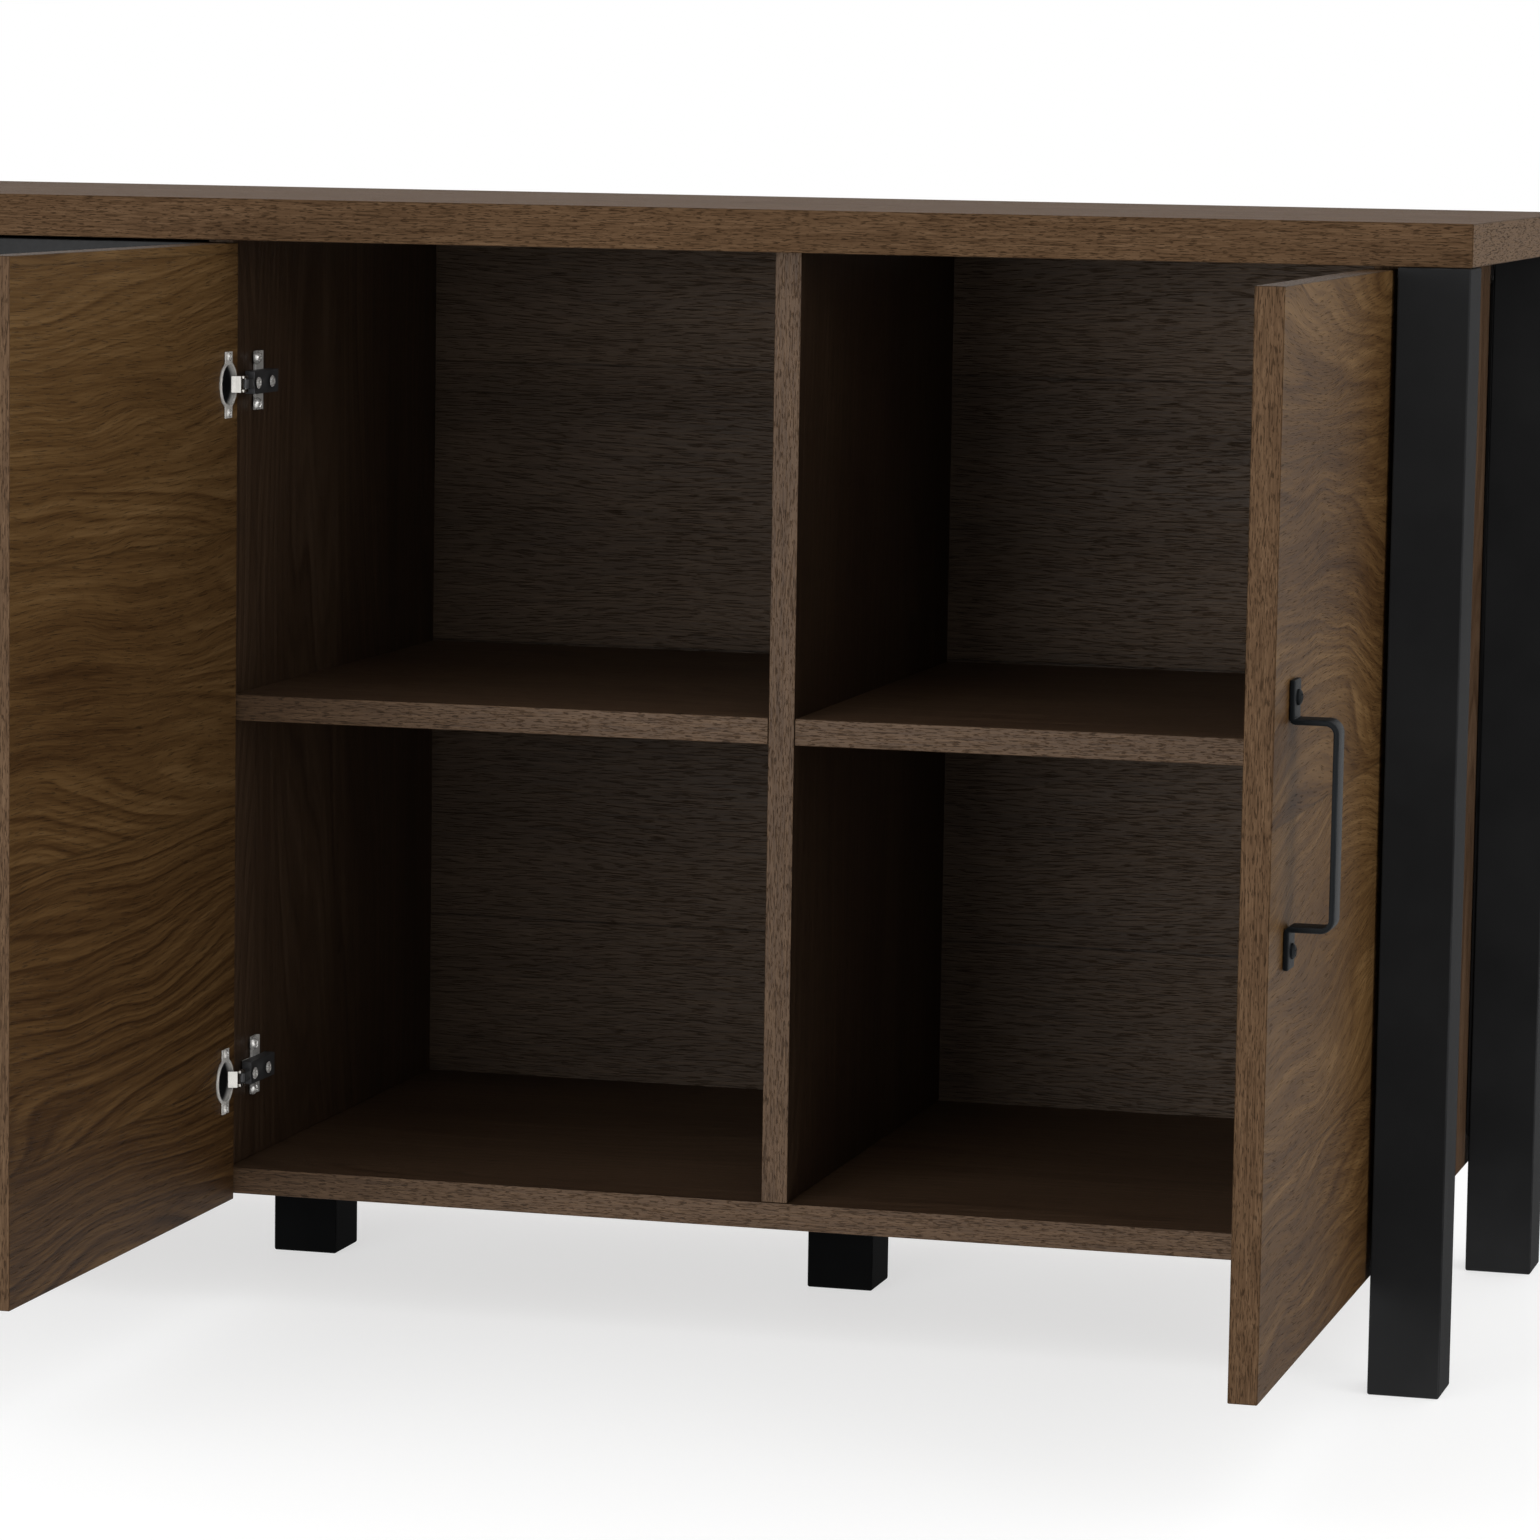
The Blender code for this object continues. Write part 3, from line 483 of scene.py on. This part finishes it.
HEAD_SEGMENTS = 48
HEAD_RINGS = 14
HEAD_TURN = (0.4, 1.1)            # angle of the first head's cross, and step to the next one's
HEAD_DOME = (0.62, 3.2)           # how far the dome falls to its rim, in heights, and how late
RECESS_ARM = 0.62                 # length and half width of the cross's arms, in head radii
RECESS_HALF = 0.13
RECESS_DEPTH = 0.45               # in head heights
PULL_HEAD = (0.0043, 0.0026)      # radius and height of the screw heads
PLATE_HEAD = (0.0038, 0.0036)
ARM_HEAD = (0.0036, 0.0015)
CUP_HEAD = (0.0025, 0.0014)
PLATE_HEAD_SPOT = (0.0021, 0.014)  # off the wall, and up and down from the hinge's middle
CUP_HEAD_SPOT = (0.0011, 0.017)   # below the cup's rim, and up and down from its middle
ARM_HEAD_SPOTS = (0.020, 0.044)   # back from the arm's front end

NAIL_PROFILE = ((0.0024, 0.0), (0.0023, 0.0004), (0.0014, 0.0007))   # radius and rise
NAIL_SEGMENTS = 16
NAIL_INSET = 0.007                # from the back panel's edges
NAILS_ALONG = 13
NAIL_GAPS_UP = 7
SHELF_NAILS = (-0.09, 0.0, 0.09)  # across each shelf, from its middle


def place(name, shape, look, body, slot, smooth_angle=40.0):
    """Turn a bmesh into a piece that rides on a body."""
    bmesh.ops.recalc_face_normals(shape, faces=shape.faces)
    mesh = bpy.data.meshes.new(name)
    shape.to_mesh(mesh)
    shape.free()
    mesh.shade_smooth()
    mesh.set_sharp_from_angle(angle=math.radians(smooth_angle))
    mesh.materials.append(look)
    piece = bpy.data.objects.new(name, mesh)
    bpy.context.scene.collection.objects.link(piece)
    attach(piece, body)
    return piece


def bridge(shape, lower, upper):
    count = len(lower)
    for step in range(count):
        after = (step + 1) % count
        shape.faces.new((lower[step], lower[after], upper[after], upper[step]))


def rounded_path(corners, radii, steps):
    """Replace each inner corner of a path with an arc."""
    path = [corners[0]]
    for before, corner, after, radius in zip(corners, corners[1:], corners[2:], radii):
        back = (before - corner).normalized()
        ahead = (after - corner).normalized()
        half = back.angle(ahead) / 2
        centre = corner + (back + ahead).normalized() * (radius / math.sin(half))
        start = (corner + back * (radius / math.tan(half)) - centre).normalized()
        end = (corner + ahead * (radius / math.tan(half)) - centre).normalized()
        path += [centre + start.slerp(end, step / steps) * radius for step in range(steps + 1)]
    path.append(corners[-1])
    return path


def strip_outline(width, thickness, corner, steps=3):
    """Rounded rectangle as (across, rise) pairs."""
    outline = []
    for turn, (x, y) in enumerate(((1, 1), (-1, 1), (-1, -1), (1, -1))):
        for step in range(steps + 1):
            angle = math.pi / 2 * (turn + step / steps)
            outline.append((x * (width / 2 - corner) + corner * math.cos(angle),
                            y * (thickness / 2 - corner) + corner * math.sin(angle)))
    return outline


def pull(name, face_point, along, outward, body, replaced):
    """A strip bent to a D, with softly rounded long edges and ends."""
    tab = PULL_SECTION[1] / 2 + GAP
    corners = [face_point + along * run + outward * rise for run, rise in (
        (-PULL_HALF_LENGTH, tab), (-PULL_HALF_LEGS, tab), (-PULL_HALF_LEGS, PULL_REACH),
        (PULL_HALF_LEGS, PULL_REACH), (PULL_HALF_LEGS, tab), (PULL_HALF_LENGTH, tab))]
    path = rounded_path(corners, PULL_BENDS, steps=10)
    last = len(path) - 1
    stations = [(path[0], 0, TAPER), (path[0] + along * PULL_CORNER, 0, 0.0)]
    stations += [(path[i], i, 0.0) for i in range(1, last)]
    stations += [(path[last] - along * PULL_CORNER, last, 0.0), (path[last], last, TAPER)]
    across = along.cross(outward)
    outline = strip_outline(*PULL_SECTION, PULL_CORNER)
    shape = bmesh.new()
    rings = []
    for point, index, taper in stations:
        before = path[max(index - 1, 0)]
        after = path[min(index + 1, last)]
        rise = (after - before).normalized().cross(across)
        shrink = PULL_CORNER * taper
        ring = []
        for wide, high in outline:
            wide -= math.copysign(min(shrink, abs(wide)), wide)
            high -= math.copysign(min(shrink, abs(high)), high)
            ring.append(shape.verts.new(point + across * wide + rise * high))
        rings.append(ring)
    for lower, upper in zip(rings, rings[1:]):
        bridge(shape, lower, upper)
    shape.faces.new(rings[0])
    shape.faces.new(rings[-1])
    piece = place(name, shape, GRIP_PAINT, body, "black_metal")
    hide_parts(*replaced)


def cross_recess(x, y, radius):
    """Depth, from 0 to 1, of a cross-point recess at a point on a screw head."""
    arm = radius * RECESS_ARM
    half = radius * RECESS_HALF
    deepest = 0.0
    for along, aside in ((abs(x), abs(y)), (abs(y), abs(x))):
        side = min(max((half * 1.5 - aside) / half, 0), 1)
        end = min(max((arm - along) / (radius * 0.12), 0), 1)
        deepest = max(deepest, min(side, end) * (1 - 0.45 * along / arm))
    return deepest


def add_head(shape, spot, outward, radius, height, turn):
    """A domed screw head with a cross recess and a closed flat underside."""
    across = outward.orthogonal().normalized()
    other = outward.cross(across)
    crown = shape.verts.new(spot + outward * (height * (1 - RECESS_DEPTH)))
    rings = []
    for step in range(1, HEAD_RINGS + 1):
        reach = radius * step / HEAD_RINGS
        dome = height * (1 - HEAD_DOME[0] * (step / HEAD_RINGS) ** HEAD_DOME[1])
        ring = []
        for index in range(HEAD_SEGMENTS):
            angle = 2 * math.pi * index / HEAD_SEGMENTS
            x = reach * math.cos(angle)
            y = reach * math.sin(angle)
            sunk = cross_recess(x * math.cos(turn) + y * math.sin(turn),
                                y * math.cos(turn) - x * math.sin(turn), radius)
            rise = dome - height * RECESS_DEPTH * sunk
            ring.append(shape.verts.new(spot + across * x + other * y + outward * rise))
        rings.append(ring)
    base = [shape.verts.new(vert.co - outward * (vert.co - spot).dot(outward))
            for vert in rings[-1]]
    for index in range(HEAD_SEGMENTS):
        shape.faces.new((crown, rings[0][index], rings[0][(index + 1) % HEAD_SEGMENTS]))
    for lower, upper in zip(rings, rings[1:]):
        bridge(shape, lower, upper)
    bridge(shape, rings[-1], base)
    shape.faces.new(base)


def heads(name, spots, outward, size, look, body, slot):
    """One piece of several screw heads, each with its cross turned differently."""
    shape = bmesh.new()
    for index, spot in enumerate(spots):
        add_head(shape, spot, outward, *size, HEAD_TURN[0] + HEAD_TURN[1] * index)
    return place(name, shape, look, body, slot, smooth_angle=30.0)


def door_pulls():
    for side, sign in (("left", -1), ("right", 1)):
        handle = f"{side}_door_handle"
        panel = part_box(f"{side}_door_panel")
        face_x = panel[0].x if sign < 0 else panel[1].x
        centre = middle(handle)
        spot = Vector((face_x, centre.y, centre.z))
        outward = X_AXIS * sign
        body = f"{side}_door"
        pull(f"{side}_pull", spot, Z_AXIS, outward, body, [handle])
        seat = spot + outward * (PULL_SECTION[1] + GAP)
        spots = [seat + Z_AXIS * (end * PULL_SCREWS) for end in (-1, 1)]
        screws = heads(f"{side}_pull_screws", spots, outward, PULL_HEAD, GRIP_PAINT, body,
                       "black_metal")
        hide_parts(f"{handle}_lower_screw", f"{handle}_upper_screw")


def drawer_pulls():
    for level in ("upper", "middle", "lower"):
        drawer = f"{level}_drawer"
        centre = middle(f"{drawer}_front")
        spot = Vector((centre.x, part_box(f"{drawer}_front")[0].y, centre.z))
        pull(f"{drawer}_pull", spot, X_AXIS, -Y_AXIS, drawer, [f"{drawer}_handle"])
        seat = spot - Y_AXIS * (PULL_SECTION[1] + GAP)
        spots = [seat + X_AXIS * (end * PULL_SCREWS) for end in (-1, 1)]
        heads(f"{drawer}_pull_screws", spots, -Y_AXIS, PULL_HEAD, GRIP_PAINT, drawer,
              "black_metal")


def hinge_screws():
    """Cross-point heads on the plates and cups, and the arms' adjusting screws."""
    walls = (("left", 1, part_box("drawer_partition")[1].x),
             ("right", -1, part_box("right_side_panel")[0].x))
    for side, sign, wall_x in walls:
        face = 1 if sign > 0 else 0
        plate_x = wall_x + sign * PLATE_HEAD_SPOT[0]
        plate_spots, arm_spots, cup_spots = [], [], []
        for level in ("upper", "lower"):
            hinge = f"{side}_{level}_hinge"
            plate = middle(f"{hinge}_plate")
            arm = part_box(f"{hinge}_arm")
            cup_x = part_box(f"{hinge}_cup")[face].x - sign * CUP_HEAD_SPOT[0]
            cup_y = middle(f"{hinge}_cup").y
            for end in (-1, 1):
                plate_spots.append(Vector((plate_x, plate.y, plate.z + end * PLATE_HEAD_SPOT[1])))
                cup_spots.append(Vector((cup_x, cup_y, plate.z + end * CUP_HEAD_SPOT[1])))
            for back in ARM_HEAD_SPOTS:
                arm_spots.append(Vector((arm[face].x, arm[0].y + back, plate.z)))
        outward = X_AXIS * sign
        for kind, spots, size, body in (("plate", plate_spots, PLATE_HEAD, "carcass"),
                                        ("arm", arm_spots, ARM_HEAD, "carcass"),
                                        ("cup", cup_spots, CUP_HEAD, f"{side}_door")):
            heads(f"{side}_hinge_{kind}_screws", spots, outward, size, ZINC, body, "nickel")


def add_nail(shape, spot):
    rings = []
    for radius, rise in NAIL_PROFILE:
        turns = [2 * math.pi * i / NAIL_SEGMENTS for i in range(NAIL_SEGMENTS)]
        rings.append([shape.verts.new(spot + Vector((radius * math.cos(angle), rise,
                                                     radius * math.sin(angle))))
                      for angle in turns])
    for lower, upper in zip(rings, rings[1:]):
        bridge(shape, lower, upper)
    shape.faces.new(rings[0])
    shape.faces.new(rings[-1])


def back_nails():
    """Small nail heads that hold the back panel to the boards in front of it."""
    low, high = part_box("back_panel")
    wide = high.x - low.x - 2 * NAIL_INSET
    tall = high.z - low.z - 2 * NAIL_INSET
    spots = []
    for z in (low.z + NAIL_INSET, high.z - NAIL_INSET):
        spots += [(low.x + NAIL_INSET + wide * i / (NAILS_ALONG - 1), z)
                  for i in range(NAILS_ALONG)]
    for shelf in ("left_shelf", "right_shelf"):
        spots += [(middle(shelf).x + offset, middle(shelf).z) for offset in SHELF_NAILS]
    for node in ("left_side_panel", "drawer_partition", "cube_divider", "right_side_panel"):
        spots += [(middle(node).x, low.z + NAIL_INSET + tall * i / NAIL_GAPS_UP)
                  for i in range(1, NAIL_GAPS_UP)]
    shape = bmesh.new()
    for x, z in spots:
        add_nail(shape, Vector((x, high.y, z)))
    place("back_panel_nails", shape, ZINC, "carcass", "nickel")


# Stage, lights and camera --------------------------------------------------------------------

FLOOR_REACH = 9.0
FLOOR_DROP = 0.0002               # the floor lies this far below the feet
KEY_LIGHT = ((-1.3, -4.5, 0.6), (0.1, 0, 0.36), (2.6, 1.2), 140)   # place, target, size, power
SIDE_LIGHT = ((3.4, -1.8, 1.0), (0.4, -0.2, 0.4), (1.6, 1.6), 30)
CAMERA_PLACE = (1.0787, -3.3695, 0.7461)
CAMERA_TURN = (15.129, 6.569, 0.884)   # yaw, pitch down and roll, in degrees
CAMERA_LENS = 137.23


def floor():
    shape = bmesh.new()
    bmesh.ops.create_grid(shape, x_segments=8, y_segments=8, size=FLOOR_REACH)
    mesh = bpy.data.meshes.new("studio_floor")
    shape.to_mesh(mesh)
    shape.free()
    made = bpy.data.objects.new("studio_floor", mesh)
    made.location = (0, 0, CAD_BOX[0].z - FLOOR_DROP)
    mesh.materials.append(pale_floor())
    bpy.context.scene.collection.objects.link(made)


def soft_light(name, location, target, size, power):
    data = bpy.data.lights.new(name, "AREA")
    data.shape = "RECTANGLE"
    data.size, data.size_y = size
    data.energy = power
    made = bpy.data.objects.new(name, data)
    made.location = location
    ahead = Vector(target) - Vector(location)
    made.rotation_euler = ahead.to_track_quat("-Z", "Y").to_euler()
    bpy.context.scene.collection.objects.link(made)


def lights():
    world = bpy.data.worlds.new("studio")
    world.use_nodes = True
    sky = world.node_tree.nodes["Background"]
    sky.inputs["Color"].default_value = (1, 1, 1, 1)
    sky.inputs["Strength"].default_value = 1.0
    bpy.context.scene.world = world
    soft_light("key_light", *KEY_LIGHT)
    soft_light("side_light", *SIDE_LIGHT)


def camera():
    yaw, pitch, roll = (math.radians(angle) for angle in CAMERA_TURN)
    ahead = Vector((-math.sin(yaw) * math.cos(pitch), math.cos(yaw) * math.cos(pitch),
                    -math.sin(pitch)))
    level = Vector((math.cos(yaw), math.sin(yaw), 0))
    upright = level.cross(ahead)
    right = level * math.cos(roll) + upright * math.sin(roll)
    up = upright * math.cos(roll) - level * math.sin(roll)
    data = bpy.data.cameras.new("camera")
    data.sensor_width = 36.0
    data.lens = CAMERA_LENS
    made = bpy.data.objects.new("camera", data)
    turn = Matrix((right, up, -ahead)).transposed().to_4x4()
    made.matrix_world = Matrix.Translation(CAMERA_PLACE) @ turn
    bpy.context.scene.collection.objects.link(made)
    bpy.context.scene.camera = made


dress_nodes()
door_pulls()
drawer_pulls()
hinge_screws()
back_nails()
floor()
lights()
camera()
bpy.context.scene.view_settings.view_transform = "Standard"
